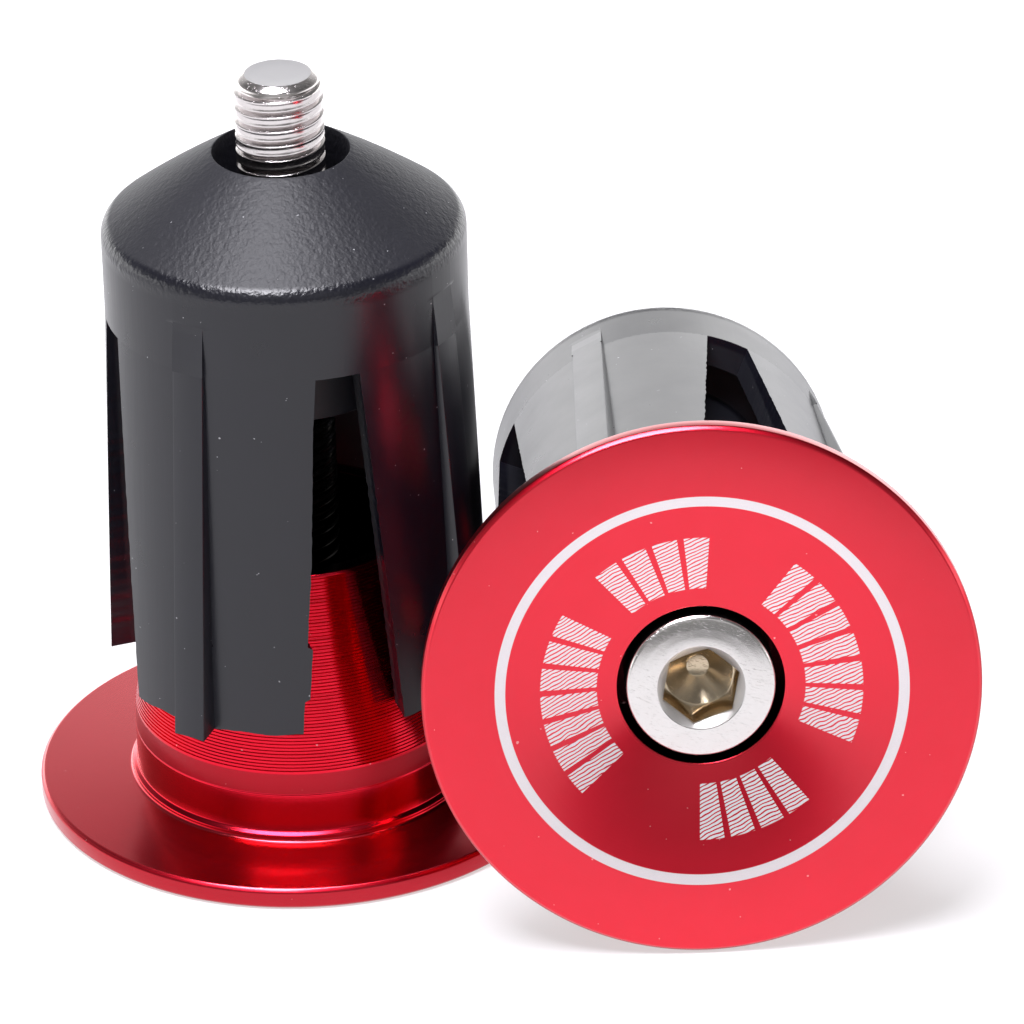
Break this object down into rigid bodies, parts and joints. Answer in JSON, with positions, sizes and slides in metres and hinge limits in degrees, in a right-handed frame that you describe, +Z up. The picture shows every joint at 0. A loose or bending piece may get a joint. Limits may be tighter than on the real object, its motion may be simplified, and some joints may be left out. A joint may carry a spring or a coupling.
{
  "type": "expanding bar end plugs",
  "caption": "Pair of expanding handlebar end plugs: flanged metal plug, cap screw, captive nut and slotted plastic sleeve.",
  "frame": {"origin": "on the ground, below the middle of the pair's bounding box", "axes": "+Z up along the axis of unit A, from its flange to its nose; unit B lies beside it on the +X side with its nose towards +Y; -Y is the viewing side"},
  "size_m": [0.0546, 0.0478, 0.0458],
  "materials": {
    "anodised_aluminium": "red anodised, satin",
    "plated_steel": "bright nickel plated",
    "sleeve_plastic": "moulded, satin wall and textured nose"
  },
  "bodies": {
    "plug_body_a": {"plug_a": "anodised_aluminium"},
    "plug_body_b": {"plug_b": "anodised_aluminium"},
    "screw_body_a": {"cap_screw_a": "plated_steel"},
    "nose_body_a": {"sleeve_nose_a": "sleeve_plastic", "hex_nut_a": "plated_steel"},
    "finger_body_a1": {"sleeve_finger_a1": "sleeve_plastic"},
    "finger_body_a2": {"sleeve_finger_a2": "sleeve_plastic"},
    "finger_body_a3": {"sleeve_finger_a3": "sleeve_plastic"},
    "finger_body_a4": {"sleeve_finger_a4": "sleeve_plastic"},
    "screw_body_b": {"cap_screw_b": "plated_steel"},
    "nose_body_b": {"sleeve_nose_b": "sleeve_plastic", "hex_nut_b": "plated_steel"},
    "finger_body_b1": {"sleeve_finger_b1": "sleeve_plastic"},
    "finger_body_b2": {"sleeve_finger_b2": "sleeve_plastic"},
    "finger_body_b3": {"sleeve_finger_b3": "sleeve_plastic"},
    "finger_body_b4": {"sleeve_finger_b4": "sleeve_plastic"}
  },
  "joints": [
    {"name": "loose_unit_b", "type": "slide", "parent": "plug_body_a", "child": "plug_body_b", "axis": [1, 0, 0], "range_m": [0, 0.06]},
    {"name": "sleeve_draw_a", "type": "slide", "parent": "plug_body_a", "child": "nose_body_a", "axis": [0, 0, -1], "range_m": [0, 0.0016]},
    {"name": "screw_turn_a", "type": "hinge", "parent": "plug_body_a", "child": "screw_body_a", "pos_m": [-0.0115, -0.00205, 0.0058], "axis": [0, 0, 1], "range_deg": [0, 640.01]},
    {"name": "finger_open_a1", "type": "hinge", "parent": "nose_body_a", "child": "finger_body_a1", "pos_m": [-0.0065, 0.00719, 0.03145], "axis": [0.8796, -0.4756, 0], "range_deg": [0, 0.8169]},
    {"name": "finger_open_a2", "type": "hinge", "parent": "nose_body_a", "child": "finger_body_a2", "pos_m": [-0.02073, 0.00295, 0.03145], "axis": [0.4756, 0.8796, 0], "range_deg": [0, 0.8169]},
    {"name": "finger_open_a3", "type": "hinge", "parent": "nose_body_a", "child": "finger_body_a3", "pos_m": [-0.01649, -0.01128, 0.03145], "axis": [-0.8796, 0.4756, 0], "range_deg": [0, 0.8169]},
    {"name": "finger_open_a4", "type": "hinge", "parent": "nose_body_a", "child": "finger_body_a4", "pos_m": [-0.00226, -0.00704, 0.03145], "axis": [-0.4756, -0.8796, 0], "range_deg": [0, 0.8169]},
    {"name": "sleeve_draw_b", "type": "slide", "parent": "plug_body_b", "child": "nose_body_b", "axis": [0.0207, -0.9898, 0.1413], "range_m": [0, 0.0016]},
    {"name": "screw_turn_b", "type": "hinge", "parent": "plug_body_b", "child": "screw_body_b", "pos_m": [0.01138, -0.01595, 0.01498], "axis": [-0.0207, 0.9898, -0.1413], "range_deg": [0, 640.01]},
    {"name": "finger_open_b1", "type": "hinge", "parent": "nose_body_b", "child": "finger_body_b1", "pos_m": [0.01503, 0.01015, 0.00154], "axis": [0.9157, 0.0755, 0.3948], "range_deg": [0, 0.8169]},
    {"name": "finger_open_b2", "type": "hinge", "parent": "nose_body_b", "child": "finger_body_b2", "pos_m": [0.0012, 0.01063, 0.00692], "axis": [0.4014, -0.1212, -0.9079], "range_deg": [0, 0.8169]},
    {"name": "finger_open_b3", "type": "hinge", "parent": "nose_body_b", "child": "finger_body_b3", "pos_m": [0.0066, 0.01269, 0.0206], "axis": [-0.9157, -0.0755, -0.3948], "range_deg": [0, 0.8169]},
    {"name": "finger_open_b4", "type": "hinge", "parent": "nose_body_b", "child": "finger_body_b4", "pos_m": [0.02042, 0.01221, 0.01521], "axis": [-0.4014, 0.1212, 0.9079], "range_deg": [0, 0.8169]}
  ],
  "couplings": [
    {"joint": "screw_turn_a", "follows": "sleeve_draw_a", "rad_per_m": 6981.3},
    {"joint": "finger_open_a1", "follows": "sleeve_draw_a", "rad_per_m": 8.9087},
    {"joint": "finger_open_a2", "follows": "sleeve_draw_a", "rad_per_m": 8.9087},
    {"joint": "finger_open_a3", "follows": "sleeve_draw_a", "rad_per_m": 8.9087},
    {"joint": "finger_open_a4", "follows": "sleeve_draw_a", "rad_per_m": 8.9087},
    {"joint": "screw_turn_b", "follows": "sleeve_draw_b", "rad_per_m": 6981.3},
    {"joint": "finger_open_b1", "follows": "sleeve_draw_b", "rad_per_m": 8.9087},
    {"joint": "finger_open_b2", "follows": "sleeve_draw_b", "rad_per_m": 8.9087},
    {"joint": "finger_open_b3", "follows": "sleeve_draw_b", "rad_per_m": 8.9087},
    {"joint": "finger_open_b4", "follows": "sleeve_draw_b", "rad_per_m": 8.9087}
  ]
}
